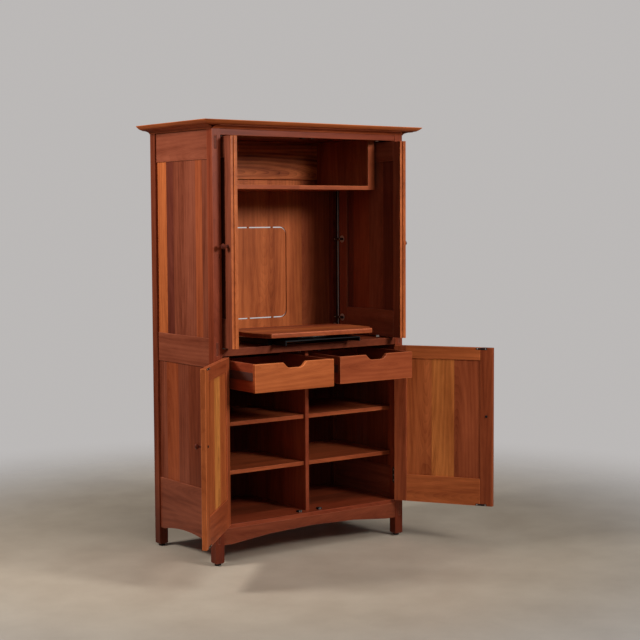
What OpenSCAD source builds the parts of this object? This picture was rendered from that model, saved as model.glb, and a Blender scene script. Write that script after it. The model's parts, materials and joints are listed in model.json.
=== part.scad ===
// Entertainment armoire in solid cherry: pocket doors over a swivel tray, lower doors over two drawers.
// Millimetres. Origin: centre of the case's footprint, on the floor. +X right, -Y front, +Z up.

/* [Overall size] */
// Width over the cornice
top_w = 1220; // [1160:10:1300]
// Depth over the cornice
top_d = 610; // [600:5:660]
// Height to the top of the cornice
total_h = 1980; // [1960:10:2100]

/* [Case] */
// Overhang of the cornice at each side
side_over = 74; // [40:2:80]
// Overhang of the cornice at the front
front_over = 64; // [40:2:70]
// Thickness of the flat top board
top_t = 20; // [16:1:24]
// Height of the cove under the top board
cove_h = 16; // [12:1:20]
// Section of the square posts
post_t = 44; // [40:1:48]
// Height of the deck's upper face
deck_z = 973; // [960:1:990]
// Thickness of the deck
deck_t = 33; // [25:1:36]
// Height of the cupboard floor's upper face
floor_z = 182; // [170:1:200]
// Height of the glides under the posts
glide_h = 10; // [6:1:16]
// Thickness of the rails
rail_t = 22; // [20:1:24]
// Thickness of boards, shelves and floor
board_t = 18; // [16:1:20]

/* [Doors] */
// Thickness of the lower doors
low_t = 22; // [20:1:24]
// Thickness of the pocket doors
up_t = 28; // [24:1:28]
// Width of the door stiles
stile_w = 62; // [56:1:70]
// Height of the bottom rails of all doors
kick_w = 130; // [110:1:140]
// Width of a pocket door
up_w = 490; // [484:1:491]
// Gap between a pocket door and the post's inner face
pocket_gap = 10; // [9:1:11]

/* [Drawers] */
// Width of a drawer front
drawer_w = 426; // [420:1:428]
// Height of a drawer front
drawer_h = 125; // [115:1:125]
// Length of the drawer sides
drawer_l = 400; // [360:10:400]

/* [Tray] */
// Width of the swivel tray
tray_w = 640; // [600:10:660]
// Depth of the swivel tray
tray_d = 360; // [340:10:360]
// Thickness of the swivel tray
tray_t = 22; // [20:1:24]

/* [Rest pose] */
// Opening angle of the left lower door
open_left = 134; // [95:1:168]
// Opening angle of the right lower door
open_right = 122.5; // [95:0.5:168]
// How far the left drawer stands out of the case
drawer_out_left = 215; // [0:5:300]
// How far the right drawer stands out of the case
drawer_out_right = 165; // [0:5:300]
// How far the left pocket door stands out of its pocket
pocket_out_left = 76; // [53:1:200]
// How far the right pocket door stands out of its pocket
pocket_out_right = 94; // [53:1:200]
// How far the tray's centre stands in front of the case's centre
tray_out = 190; // [100:5:360]
// Turn of the tray, seen from above
tray_turn = -3; // [-40:1:40]

/* [Hidden] */

wood = "#9a5a38";
wood_dark = "#7a3f28";
wood_light = "#b5754a";
steel = "#8c8c8e";
black = "#222222";
nylon = "#eeeeea";

case_w = top_w - 2 * side_over;
case_d = top_d - front_over;
hx = case_w / 2;              // outer face of the posts
ix = hx - post_t;             // inner face of the posts
yf = -case_d / 2;             // front plane
yb = case_d / 2;              // back plane
fy = yf + post_t;             // rear face of the front posts
by = yb - post_t;             // front face of the back posts
post_top = total_h - top_t;
cornice_z = post_top - cove_h;
setback = 2;                  // front rails and deck stand this far behind the posts' faces

// side frames: rails stand 7 behind the posts, panels 12
rail_x = hx - 7;
rail_ix = rail_x - rail_t;
panel_x = hx - 12;
panel_t = 12;
tongue_t = 8;
tongue_l = 7;
groove_l = 8;
foot_chamfer = 5;             // at the bottom of each post
tenon_t = 14;
tenon_h = 60;
top_rail_z = cornice_z - 132;
mid_top = deck_z + 47;
mid_bot = deck_z - 85;
low_top = floor_z + 152;
low_bot = 92;
tenon_zs = [cornice_z - 90, mid_top - 76, low_bot + 8];

// back
back_t = 8;
back_y = yb - 4 - back_t;     // front face of the back panels
back_rail_t = 18;
back_rail_y = back_y - back_rail_t;
slot_half = 226;
slot_w = 5.5;
slot_z = 1282;
slot_r = 36;
tab_w = 9;
tab_pitch = 141;

deck_bot = deck_z - deck_t;
inner_top_z = cornice_z - 19;

// inner boards
divider_t = 19;
divider_y = yf + 48;
shelf_y = yf + 60;
shelf_zs = [395, 616];
pin_r = 2.5;

// top box
box_x = 404;
box_side_t = 40;
box_y = yf + 97;
box_z = 1684;
box_shelf_t = 19;

// pocket doors
up_ox = ix - pocket_gap;      // outer face of a stowed pocket door
up_ix = up_ox - up_t;
up_z0 = deck_z + 4;
up_z1 = cornice_z - 33;
up_rail_w = 92;
lap_x = 13;                   // width of the half lap on the free edge
lap_y = 8;
carrier_gap = 14;
carrier_t = 20;
up_knob_z = 1429;
slide_h = 30;
slide_zs = [985, 1872];
cup_zs = [1053, 1445, 1836];

// lower doors
low_z0 = floor_z + 2;
low_z1 = deck_bot - 2;
low_x1 = ix - 2;              // hinge edge when closed
low_x0 = 1.5;                 // free edge when closed
low_rail_w = 60;
low_knob_z = 613;
hinge_x = ix - 1;
hinge_y = yf - 5;
hinge_zs = [300, 825];
hinge_h = 75;
knuckle_r = 4.4;
pintle_r = 2.2;
leaf_t = 0.9;

knob_r = 13;
knob_l = 32;

// curved underside of the top's edge
edge_run = 32;
edge_tip = 2;

// magnetic catches and the strike plates of the lower doors
catch_x = 46;
catch_w = 22;
catch_y = 25;
catch_d = 20;
catch_h = 9;
top_catch_x = 14;
top_catch_h = 12;
strike_x = 30;
strike_w = 54;
strike_h = 9;

// drawers
drawer_x = 249;
drawer_z = 794;
front_t = 19;
drawer_side_t = 12;
slide_z = 840;
slide_w = 6.35;               // thickness of one slide member; the front hides the drawer's own
slide_gap = 0.45;

// tray
tray_z = 1014;
tray_clip_x = 46;
tray_clip_y = 90;
carriage_l = 340;
carriage_x = 211;
base_rail_w = 22;
bearing_r = 140;
kingpin_r = 6;

// Mirrors its children to the left for s = -1.
module on_side(s) {
    mirror([s < 0 ? 1 : 0, 0, 0]) children();
}

// A box between two corners.
module block(a, b) {
    translate(a) cube(b - a);
}

// ---------- case ----------

// The four chamfers at the bottom of a post whose middle is at the origin.
module foot_cuts() {
    for (a = [0:90:270]) rotate([0, 0, a]) translate([post_t / 2 - foot_chamfer, 0, 0])
        rotate([0, -45, 0]) translate([0, -post_t, -2 * post_t]) cube(2 * post_t);
}

// A right-hand post, drawn at the front.
module post_shape() {
    difference() {
        block([ix, yf, glide_h], [hx, fy, post_top]);
        translate([ix + post_t / 2, yf + post_t / 2, glide_h]) foot_cuts();
        for (z = tenon_zs)
            block([rail_x - 4 - tenon_t, yf - 1, z], [rail_x - 4, fy + 1, z + tenon_h]);
        for (z = [[top_rail_z, mid_top], [mid_bot, low_top]])
            block([panel_x - panel_t + 2, fy - groove_l, z[1] - groove_l],
                [panel_x - 2, fy + 1, z[0] + groove_l]);
    }
}

module post_front(s) { color(wood) on_side(s) post_shape(); }
module post_back(s) { color(wood_dark) on_side(s) mirror([0, 1, 0]) post_shape(); }

// Underside of the top's edge: x inwards from the tip, y down from the upper face.
edge_curve = [for (u = [0:0.1:1]) [edge_run * u, edge_tip + (top_t - edge_tip) * (2 * u - u * u)]];

module top_board() {
    w = top_w / 2;
    y0 = yf - front_over;
    color(wood) intersection() {
        translate([0, yb, total_h]) rotate([90, 0, 0]) linear_extrude(height = yb - y0)
            polygon(concat([[-w, 0]], [for (p = edge_curve) [p[0] - w, -p[1]]],
                [for (i = [10:-1:0]) [w - edge_curve[i][0], -edge_curve[i][1]]], [[w, 0]]));
        translate([-w, 0, total_h]) rotate([90, 0, 90]) linear_extrude(height = top_w)
            polygon(concat([[y0, 0]], [for (p = edge_curve) [y0 + p[0], -p[1]]],
                [[yb, -top_t], [yb, 0]]));
    }
}

// Cove profile: x outwards from the case, y up.
function cove(reach) = concat([[0, 0]],
    [for (a = [0:10:90]) [3 + (reach - 3) * (1 - cos(a)), (cove_h - 2) * sin(a)]],
    [[reach, cove_h], [0, cove_h]]);

module cove_front() {
    reach = front_over - edge_run;
    difference() {
        translate([-top_w / 2, yf, cornice_z]) rotate([90, 0, 90])
            mirror([1, 0, 0]) linear_extrude(height = top_w) polygon(cove(reach));
        for (s = [1, -1]) on_side(s) translate([hx, yf, cornice_z - 1])
            rotate([0, 0, -atan(reach / (side_over - edge_run))]) translate([0, -200, 0])
            cube([200, 400, cove_h + 2]);
    }
}

module cove_side(s) {
    reach = side_over - edge_run;
    on_side(s) difference() {
        translate([hx, yb, cornice_z]) rotate([90, 0, 0])
            linear_extrude(height = case_d + front_over) polygon(cove(reach));
        translate([hx, yf, cornice_z - 1]) rotate([0, 0, -atan((front_over - edge_run) / reach)])
            translate([-200, -400, 0]) cube([500, 400, cove_h + 2]);
    }
}

module cornice_moulding() {
    color(wood_dark) {
        cove_front();
        cove_side(1);
        cove_side(-1);
    }
}

// A board that fills the case between the posts, with wings out to the side rails.
module case_board(y0, y1, z0, z1) {
    union() {
        block([-ix, y0, z0], [ix, y1, z1]);
        block([-rail_ix, fy, z0], [rail_ix, by, z1]);
    }
}

module inner_top() {
    color(wood_dark) case_board(yf + setback + rail_t, back_rail_y, inner_top_z,
        inner_top_z + board_t);
}

module side_rail(z0, z1, tz) {
    block([rail_ix, fy, z0], [rail_x, by, z1]);
    for (y = [yf, by])
        block([rail_x - 4 - tenon_t, y, tz], [rail_x - 4, y + post_t, tz + tenon_h]);
}

module panel_groove(z0, z1) {
    block([panel_x - panel_t + 2, fy - 1, z0], [panel_x - 2, by + 1, z1]);
}

module side_rails(s) {
    color(wood) on_side(s) {
        difference() {
            side_rail(top_rail_z, post_top, tenon_zs[0]);
            panel_groove(top_rail_z - 1, top_rail_z + groove_l);
        }
        difference() {
            side_rail(mid_bot, mid_top, tenon_zs[1]);
            panel_groove(mid_top - groove_l, mid_top + 1);
            panel_groove(mid_bot - 1, mid_bot + groove_l);
        }
        difference() {
            side_rail(low_bot, low_top, tenon_zs[2]);
            panel_groove(low_top - groove_l, low_top + 1);
            arch(400, 22, low_bot, rail_ix - 1, rail_x + 1);
        }
    }
}

// A flat arch cut under a rail that runs along Y, between two X planes.
module arch(span, rise, z, x0, x1) {
    r = (span * span / 4 + rise * rise) / (2 * rise);
    translate([x0, 0, z + rise - r]) rotate([0, 90, 0])
        cylinder(r = r, h = x1 - x0, $fn = 96);
}

module side_panel(z0, z1) {
    union() {
        block([panel_x - panel_t, fy, z0], [panel_x, by, z1]);
        block([panel_x - panel_t + 2, fy - tongue_l, z0 - tongue_l],
            [panel_x - 2, by + tongue_l, z1 + tongue_l]);
    }
}

module side_panels(s) {
    color(wood_light) on_side(s) {
        side_panel(mid_top, top_rail_z);
        difference() {
            side_panel(low_top, mid_bot);
            outer_pins(0.01);
        }
    }
}

module front_top_rail() {
    color(wood) block([-ix, yf + setback, cornice_z - 27], [ix, yf + setback + rail_t, post_top]);
}

module front_bottom_rail() {
    color(wood) difference() {
        block([-ix, yf + setback, low_bot], [ix, yf + setback + rail_t, floor_z - board_t]);
        rotate([0, 0, 90]) arch(900, 28, low_bot, yf - 1, yf + rail_t + 4);
    }
}

module deck() {
    color(wood) case_board(yf + setback, back_y, deck_bot, deck_z);
}

module floor_board() {
    color(wood) case_board(yf + setback, back_y, floor_z - board_t, floor_z);
}

module back_rails() {
    color(wood_dark) {
        block([-ix, back_rail_y, cornice_z - 202], [ix, back_y, post_top]);
        block([-ix, back_rail_y, low_bot], [ix, back_y, floor_z - board_t]);
    }
}

module rounded_square(half, r) {
    offset(r = r) square(2 * (half - r), center = true);
}

module back_panel_upper() {
    color(wood_light) difference() {
        block([-ix, back_y, deck_z - 16], [ix, back_y + back_t, post_top]);
        translate([0, back_y - 1, slot_z]) rotate([90, 0, 0]) mirror([0, 0, 1])
            linear_extrude(height = back_t + 2) difference() {
                rounded_square(slot_half, slot_r);
                rounded_square(slot_half - slot_w, slot_r - slot_w);
                for (x = [-tab_pitch, 0, tab_pitch])
                    translate([x, 0]) square([tab_w, 3 * slot_half], center = true);
            }
    }
}

module back_panel_lower() {
    color(wood_dark) block([-ix, back_y, low_bot], [ix, back_y + back_t, deck_z - 16]);
}

module centre_divider() {
    color(wood) difference() {
        block([-divider_t / 2, divider_y, floor_z], [divider_t / 2, back_y, deck_bot]);
        inner_pins(0.01);
    }
}

module shelves() {
    color(wood) for (s = [1, -1], z = shelf_zs) on_side(s)
        block([divider_t / 2 + 1.5, shelf_y, z], [panel_x - panel_t - 2, by - 2, z + board_t]);
}

// Pins in the outer side panels.
module outer_pins(gap) {
    for (z = shelf_zs, y = [shelf_y + 40, by - 42])
        translate([panel_x - panel_t - 12, y, z - pin_r]) rotate([0, 90, 0])
            cylinder(r = pin_r + gap, h = 20, $fn = 24);
}

// Pins in the divider, on both sides of it.
module inner_pins(gap) {
    for (s = [1, -1], z = shelf_zs, y = [shelf_y + 40, by - 42]) on_side(s)
        translate([divider_t / 2 - 8, y, z - pin_r]) rotate([0, 90, 0])
            cylinder(r = pin_r + gap, h = 20, $fn = 24);
}

module shelf_pins() {
    color(steel) {
        for (s = [1, -1]) on_side(s) outer_pins(0);
        inner_pins(0);
    }
}

module top_box() {
    color(wood) {
        for (s = [1, -1]) on_side(s)
            block([box_x, box_y, box_z], [box_x + box_side_t, back_rail_y, inner_top_z]);
        block([-box_x, box_y, box_z], [box_x, back_rail_y, box_z + box_shelf_t]);
    }
}

module pocket_slides() {
    color(steel) for (s = [1, -1], z = slide_zs) on_side(s)
        block([ix - 0.4, fy + 4, z], [rail_ix, by - 4, z + slide_h]);
}

// Fixed runner members: one against the divider, one against the side, for each drawer.
module drawer_runners() {
    color(steel) for (s = [1, -1]) on_side(s) {
        block([drawer_x + drawer_w / 2 + slide_gap, yf + 27, slide_z],
            [drawer_x + drawer_w / 2 + 2 * slide_w, yf + 427, slide_z + 45]);
        block([drawer_x - drawer_w / 2 - 2 * slide_w, yf + 50, slide_z],
            [drawer_x - drawer_w / 2 - slide_gap, yf + 427, slide_z + 45]);
    }
}

module drawer_spacers() {
    color(wood_dark) for (s = [1, -1]) on_side(s) {
        block([drawer_x + drawer_w / 2 + 2 * slide_w, fy, slide_z - 6],
            [rail_ix, by, slide_z + 60]);
        block([divider_t / 2, yf + 50, slide_z - 6],
            [drawer_x - drawer_w / 2 - 2 * slide_w, by, slide_z + 60]);
    }
}

module tray_base() {
    color(black) for (s = [1, -1]) on_side(s)
        block([carriage_x + 2, yf + 18, deck_z], [carriage_x + 2 + base_rail_w, 220, deck_z + 25]);
}

module glides() {
    color(black) for (x = [-1, 1], y = [-1, 1])
        translate([x * (hx - post_t / 2), y * (case_d - post_t) / 2, 0])
            cylinder(r = 15, h = glide_h, $fn = 32);
}

module catches() {
    color(steel) for (s = [1, -1]) on_side(s) {
        for (z = [floor_z, deck_bot - catch_h])
            block([catch_x, yf + catch_y, z], [catch_x + catch_w, yf + catch_y + catch_d, z + catch_h]);
        block([top_catch_x, yf + catch_y + 1, inner_top_z - top_catch_h],
            [top_catch_x + catch_w, yf + catch_y + 1 + catch_d, inner_top_z]);
    }
}

module door_guides() {
    color(nylon) for (s = [1, -1], z = [deck_z, inner_top_z - 10]) on_side(s)
        translate([up_ix - 11, yf + 75, z]) cylinder(r = 8, h = 10, $fn = 24);
}

// ---------- hinges of the lower doors ----------

module hinge_fixed(z) {
    z0 = z - hinge_h / 2;
    k = hinge_h / 3;
    block([ix - leaf_t, yf + 0.2, z0], [ix, yf + low_t, z0 + hinge_h]);
    for (dz = [0, 2 * k]) {
        translate([hinge_x, hinge_y, z0 + dz]) cylinder(r = knuckle_r, h = k, $fn = 24);
        block([ix - leaf_t, hinge_y, z0 + dz], [ix, yf + 0.3, z0 + dz + k]);
    }
    translate([hinge_x, hinge_y, z0 + 1]) cylinder(r = pintle_r, h = hinge_h - 2, $fn = 24);
}

module hinge_leaves_fixed() {
    color(steel) for (s = [1, -1], z = hinge_zs) on_side(s) union() hinge_fixed(z);
}

module hinge_moving(z) {
    k = hinge_h / 3;
    z0 = z - hinge_h / 2;
    difference() {
        union() {
            block([low_x1, yf + 0.2, z0], [low_x1 + leaf_t, yf + low_t, z0 + hinge_h]);
            translate([hinge_x, hinge_y, z0 + k + 0.3])
                cylinder(r = knuckle_r, h = k - 0.6, $fn = 24);
            block([low_x1, hinge_y, z0 + k + 0.3], [low_x1 + leaf_t, yf + 0.3, z0 + 2 * k - 0.3]);
        }
        translate([hinge_x, hinge_y, z0]) cylinder(r = pintle_r + 0.06, h = hinge_h, $fn = 24);
    }
}

// ---------- doors, drawn as the right-hand one ----------

module knob() {
    rotate_extrude($fn = 32) polygon([[0, 0], [9, 0], [9, 2], [6, 5], [5.5, 12], [8, 17],
        [knob_r - 1, 21], [knob_r, 25], [knob_r - 3, 30], [8, knob_l], [0, knob_l]]);
}

// Swings a lower door open about its pin.
module swing(s, angle) {
    on_side(s) translate([hinge_x, hinge_y, 0]) rotate([0, 0, angle])
        translate([-hinge_x, -hinge_y, 0]) children();
}

module lower_stiles(s, angle) {
    color(wood) swing(s, angle) for (x = [low_x0, low_x1 - stile_w]) difference() {
        block([x, yf, low_z0], [x + stile_w, yf + low_t, low_z1]);
        frame_core(low_x0, low_x1, low_z0, low_z1, yf, low_t, low_rail_w);
    }
}

// The tongues that rails and panel share with the stiles: a slab in the middle of the thickness.
module frame_core(x0, x1, z0, z1, y, t, head) {
    block([x0 + stile_w - groove_l, y + (t - tongue_t) / 2, z0 - 1],
        [x1 - stile_w + groove_l, y + (t + tongue_t) / 2, z1 + 1]);
}

module lower_rails(s, angle) {
    color(wood) swing(s, angle) for (z = [[low_z0, low_z0 + kick_w], [low_z1 - low_rail_w, low_z1]])
        difference() {
            union() {
                block([low_x0 + stile_w, yf, z[0]], [low_x1 - stile_w, yf + low_t, z[1]]);
                block([low_x0 + stile_w - groove_l, yf + (low_t - tongue_t) / 2, z[0]],
                    [low_x1 - stile_w + groove_l, yf + (low_t + tongue_t) / 2, z[1]]);
            }
            block([low_x0 + 1, yf + (low_t - tongue_t) / 2, low_z0 + kick_w - groove_l],
                [low_x1 - 1, yf + (low_t + tongue_t) / 2, low_z1 - low_rail_w + groove_l]);
        }
}

module lower_panel(s, angle) {
    color(wood_light) swing(s, angle) union() {
        block([low_x0 + stile_w, yf + low_t / 2 - 6, low_z0 + kick_w],
            [low_x1 - stile_w, yf + low_t / 2 + 6, low_z1 - low_rail_w]);
        block([low_x0 + stile_w - tongue_l, yf + (low_t - tongue_t) / 2, low_z0 + kick_w - tongue_l],
            [low_x1 - stile_w + tongue_l, yf + (low_t + tongue_t) / 2, low_z1 - low_rail_w + tongue_l]);
    }
}

module lower_knob(s, angle) {
    color(wood_light) swing(s, angle) {
        translate([low_x0 + stile_w / 2, yf, low_knob_z]) rotate([90, 0, 0]) knob();
        translate([low_x0 + stile_w / 2, yf + low_t + 1.5, low_knob_z]) rotate([90, 0, 0])
            cylinder(r = 5, h = 1.5, $fn = 24);
    }
}

module lower_hardware(s, angle) {
    color(black) swing(s, angle) {
        for (z = hinge_zs) hinge_moving(z);
        for (z = [low_z0 + 1, low_z1 - 1 - strike_h])
            block([strike_x, yf + low_t, z], [strike_x + strike_w, yf + low_t + 1.2, z + strike_h]);
    }
}

// Moves a pocket door, drawn with its free edge at the front plane, out by the given distance.
module stow(s, out) {
    on_side(s) translate([0, -out, 0]) children();
}

// Half lap on the free edge. It faces the viewer's left on both doors, so the pair closes flush.
module lap_cut(s) {
    x0 = s > 0 ? up_ix : up_ox - lap_x;
    block([x0 - (s > 0 ? 1 : 0), yf - 1, up_z0 - 1],
        [x0 + lap_x + (s > 0 ? 0 : 1), yf + lap_y, up_z1 + 1]);
}

module upper_stiles(s, out) {
    color(wood) stow(s, out) difference() {
        for (y = [yf, yf + up_w - stile_w])
            block([up_ix, y, up_z0], [up_ox, y + stile_w, up_z1]);
        lap_cut(s);
        block([up_ix + (up_t - tongue_t) / 2, yf + stile_w - groove_l, up_z0 - 1],
            [up_ix + (up_t + tongue_t) / 2, yf + up_w - stile_w + groove_l, up_z1 + 1]);
    }
}

module upper_rails(s, out) {
    color(wood) stow(s, out) for (z = [[up_z0, up_z0 + kick_w], [up_z1 - up_rail_w, up_z1]])
        difference() {
            union() {
                block([up_ix, yf + stile_w, z[0]], [up_ox, yf + up_w - stile_w, z[1]]);
                block([up_ix + (up_t - tongue_t) / 2, yf + stile_w - groove_l, z[0]],
                    [up_ix + (up_t + tongue_t) / 2, yf + up_w - stile_w + groove_l, z[1]]);
            }
            block([up_ix + (up_t - tongue_t) / 2, yf + 1, up_z0 + kick_w - groove_l],
                [up_ix + (up_t + tongue_t) / 2, yf + up_w - 1, up_z1 - up_rail_w + groove_l]);
        }
}

module upper_panel(s, out) {
    color(wood_light) stow(s, out) union() {
        block([up_ix + up_t / 2 - 6, yf + stile_w, up_z0 + kick_w],
            [up_ix + up_t / 2 + 6, yf + up_w - stile_w, up_z1 - up_rail_w]);
        block([up_ix + (up_t - tongue_t) / 2, yf + stile_w - tongue_l, up_z0 + kick_w - tongue_l],
            [up_ix + (up_t + tongue_t) / 2, yf + up_w - stile_w + tongue_l, up_z1 - up_rail_w + tongue_l]);
    }
}

module upper_knob(s, out) {
    color(wood_light) stow(s, out)
        translate([up_ox, yf + stile_w / 2 + 8, up_knob_z]) rotate([0, 90, 0]) knob();
}

// The follower strip behind the door, its two slide members and the cup hinges that hold the door.
module upper_carrier(s, out) {
    y = yf + up_w + carrier_gap;
    color(black) stow(s, out) {
        union() {
            block([up_ix + 4, y, up_z0 + 8], [up_ox + 2, y + carrier_t, up_z1 - 8]);
            for (z = slide_zs)
                block([up_ox + 2, y - 80, z + 4], [ix - 1.2, y + carrier_t, z + slide_h - 4]);
            for (z = cup_zs) {
                block([up_ix - 8, y - carrier_gap - 34, z - 6], [up_ix, y + carrier_t, z + 6]);
                block([up_ix - 8, y, z - 6], [up_ix + 6, y + carrier_t, z + 6]);
            }
        }
    }
}

// ---------- drawers ----------

module slide_out(s, out) {
    on_side(s) translate([0, -out, 0]) children();
}

module drawer_front(s, out) {
    x0 = drawer_x - drawer_w / 2;
    color(wood_light) slide_out(s, out) difference() {
        block([x0, yf, drawer_z], [x0 + drawer_w, yf + front_t, drawer_z + drawer_h]);
        translate([drawer_x, yf - 1, drawer_z + drawer_h]) rotate([90, 0, 0]) mirror([0, 0, 1])
            linear_extrude(height = front_t + 2)
            polygon([[-64, 1], [-62, 0], [-42, -20], [-30, -25], [30, -25], [42, -20], [62, 0], [64, 1]]);
    }
}

module drawer_box(s, out) {
    x0 = drawer_x - drawer_w / 2 + slide_w;
    x1 = drawer_x + drawer_w / 2 - slide_w;
    y0 = yf + front_t;
    y1 = y0 + drawer_l;
    color(wood) slide_out(s, out) {
        block([x0, y0, drawer_z], [x0 + drawer_side_t, y1, drawer_z + drawer_h]);
        block([x1 - drawer_side_t, y0, drawer_z], [x1, y1, drawer_z + drawer_h]);
        block([x0 + drawer_side_t, y1 - drawer_side_t, drawer_z + 6],
            [x1 - drawer_side_t, y1, drawer_z + drawer_h - 12]);
        block([x0 + drawer_side_t, y0, drawer_z + 6],
            [x1 - drawer_side_t, y1 - drawer_side_t, drawer_z + 12]);
    }
}

module drawer_slides(s, out) {
    x0 = drawer_x - drawer_w / 2 + slide_w;
    x1 = drawer_x + drawer_w / 2 - slide_w;
    y0 = yf + front_t;
    color(steel) slide_out(s, out) {
        block([x1, y0, slide_z + 5], [x1 + slide_w - slide_gap, y0 + drawer_l, slide_z + 40]);
        block([x0 - slide_w + slide_gap, y0, slide_z + 5], [x0, y0 + drawer_l, slide_z + 40]);
    }
}

// ---------- tray ----------

module at_tray(turn) {
    translate([0, -tray_out, 0]) rotate([0, 0, turn]) children();
}

module tray_board() {
    w = tray_w / 2;
    d = tray_d / 2;
    color(wood_light) at_tray(tray_turn) translate([0, 0, tray_z]) linear_extrude(height = tray_t)
        polygon([[-w + tray_clip_x, -d], [w - tray_clip_x, -d], [w, -d + tray_clip_y],
            [w, d - tray_clip_y], [w - tray_clip_x, d], [-w + tray_clip_x, d],
            [-w, d - tray_clip_y], [-w, -d + tray_clip_y]]);
}

module tray_swivel_plate() {
    color(steel) at_tray(tray_turn) difference() {
        translate([0, 0, tray_z - 8]) cylinder(r = bearing_r, h = 8, $fn = 64);
        translate([0, 0, tray_z - 9]) cylinder(r = kingpin_r + 0.06, h = 10, $fn = 32);
    }
}

module tray_carriage() {
    top = tray_z - 15;
    color(black) at_tray(0) union() {
        block([-carriage_x, -carriage_l / 2, top - 4], [carriage_x, carriage_l / 2, top]);
        for (s = [1, -1]) on_side(s)
            block([carriage_x - 4, -carriage_l / 2, deck_z + 4], [carriage_x, carriage_l / 2, top - 4]);
        translate([0, 0, top]) cylinder(r = bearing_r, h = 6.5, $fn = 64);
        translate([0, 0, top]) cylinder(r = kingpin_r, h = 14.5, $fn = 32);
    }
}

post_front(-1);  // post_front_left
post_front(1);  // post_front_right
post_back(-1);  // post_back_left
post_back(1);  // post_back_right
top_board();
cornice_moulding();
inner_top();
side_rails(-1);  // side_rails_left
side_rails(1);  // side_rails_right
side_panels(-1);  // side_panels_left
side_panels(1);  // side_panels_right
front_top_rail();
front_bottom_rail();
deck();
floor_board();
back_rails();
back_panel_upper();
back_panel_lower();
centre_divider();
shelves();
shelf_pins();
top_box();
pocket_slides();
drawer_runners();
drawer_spacers();
tray_base();
glides();
catches();
door_guides();
hinge_leaves_fixed();
upper_stiles(-1, pocket_out_left);  // upper_left_stiles
upper_rails(-1, pocket_out_left);  // upper_left_rails
upper_panel(-1, pocket_out_left);  // upper_left_panel
upper_knob(-1, pocket_out_left);  // upper_left_knob
upper_carrier(-1, pocket_out_left);  // upper_left_carrier
upper_stiles(1, pocket_out_right);  // upper_right_stiles
upper_rails(1, pocket_out_right);  // upper_right_rails
upper_panel(1, pocket_out_right);  // upper_right_panel
upper_knob(1, pocket_out_right);  // upper_right_knob
upper_carrier(1, pocket_out_right);  // upper_right_carrier
lower_stiles(-1, open_left);  // lower_left_stiles
lower_rails(-1, open_left);  // lower_left_rails
lower_panel(-1, open_left);  // lower_left_panel
lower_knob(-1, open_left);  // lower_left_knob
lower_hardware(-1, open_left);  // lower_left_hardware
lower_stiles(1, open_right);  // lower_right_stiles
lower_rails(1, open_right);  // lower_right_rails
lower_panel(1, open_right);  // lower_right_panel
lower_knob(1, open_right);  // lower_right_knob
lower_hardware(1, open_right);  // lower_right_hardware
drawer_front(-1, drawer_out_left);  // drawer_left_front
drawer_box(-1, drawer_out_left);  // drawer_left_box
drawer_slides(-1, drawer_out_left);  // drawer_left_slides
drawer_front(1, drawer_out_right);  // drawer_right_front
drawer_box(1, drawer_out_right);  // drawer_right_box
drawer_slides(1, drawer_out_right);  // drawer_right_slides
tray_board();
tray_swivel_plate();
tray_carriage();
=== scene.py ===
"""Looks for the cherry armoire: procedural cherry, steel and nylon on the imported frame, and small hardware.

Metres throughout, in the frame's own axes: +X right, -Y front and +Z up.
The origin is on the floor under the case's centre.
"""

import json
import math
import random

import bmesh
import bpy
from mathutils import Matrix, Vector


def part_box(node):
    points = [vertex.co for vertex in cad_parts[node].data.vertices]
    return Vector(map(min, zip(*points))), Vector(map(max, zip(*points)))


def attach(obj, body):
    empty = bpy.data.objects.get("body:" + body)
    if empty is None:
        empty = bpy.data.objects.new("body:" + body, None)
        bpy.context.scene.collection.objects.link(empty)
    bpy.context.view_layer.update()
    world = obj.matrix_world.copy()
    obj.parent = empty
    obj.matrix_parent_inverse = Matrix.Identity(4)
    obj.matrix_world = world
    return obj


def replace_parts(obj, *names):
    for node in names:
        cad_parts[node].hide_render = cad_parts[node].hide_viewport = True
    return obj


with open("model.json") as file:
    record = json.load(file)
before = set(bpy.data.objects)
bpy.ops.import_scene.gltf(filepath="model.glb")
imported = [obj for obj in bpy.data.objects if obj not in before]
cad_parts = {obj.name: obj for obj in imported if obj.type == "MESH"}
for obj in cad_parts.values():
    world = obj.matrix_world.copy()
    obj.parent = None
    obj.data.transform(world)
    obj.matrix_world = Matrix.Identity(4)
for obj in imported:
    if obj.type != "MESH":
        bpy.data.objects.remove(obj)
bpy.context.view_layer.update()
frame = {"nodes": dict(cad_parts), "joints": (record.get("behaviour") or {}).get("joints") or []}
nodes = frame["nodes"]
scene = bpy.context.scene

# ---------- camera ----------

CAMERA_AT = (-3.8496, -5.61805, 1.5564)
CAMERA_YAW = 36.106
CAMERA_PITCH = -4.137
CAMERA_ROLL = -0.293
CAMERA_LENS = 80.31
CAMERA_SHIFT = -0.0015625    # as a share of the picture's width


def make_camera():
    yaw, pitch, roll = (math.radians(a) for a in (CAMERA_YAW, CAMERA_PITCH, CAMERA_ROLL))
    ahead = math.cos(pitch)
    forward = Vector((math.sin(yaw) * ahead, math.cos(yaw) * ahead, math.sin(pitch)))
    level = Vector((math.cos(yaw), -math.sin(yaw), 0))
    up = level.cross(forward)
    across = level * math.cos(roll) + up * math.sin(roll)
    upright = up * math.cos(roll) - level * math.sin(roll)
    data = bpy.data.cameras.new("camera")
    data.lens = CAMERA_LENS
    data.shift_x = CAMERA_SHIFT
    camera = bpy.data.objects.new("camera", data)
    turn = Matrix((across, upright, -forward)).transposed().to_4x4()
    camera.matrix_world = Matrix.Translation(CAMERA_AT) @ turn
    scene.collection.objects.link(camera)
    scene.camera = camera


make_camera()

# ---------- light ----------

BACKDROP = (1, 0.965, 0.95, 1)


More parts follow.
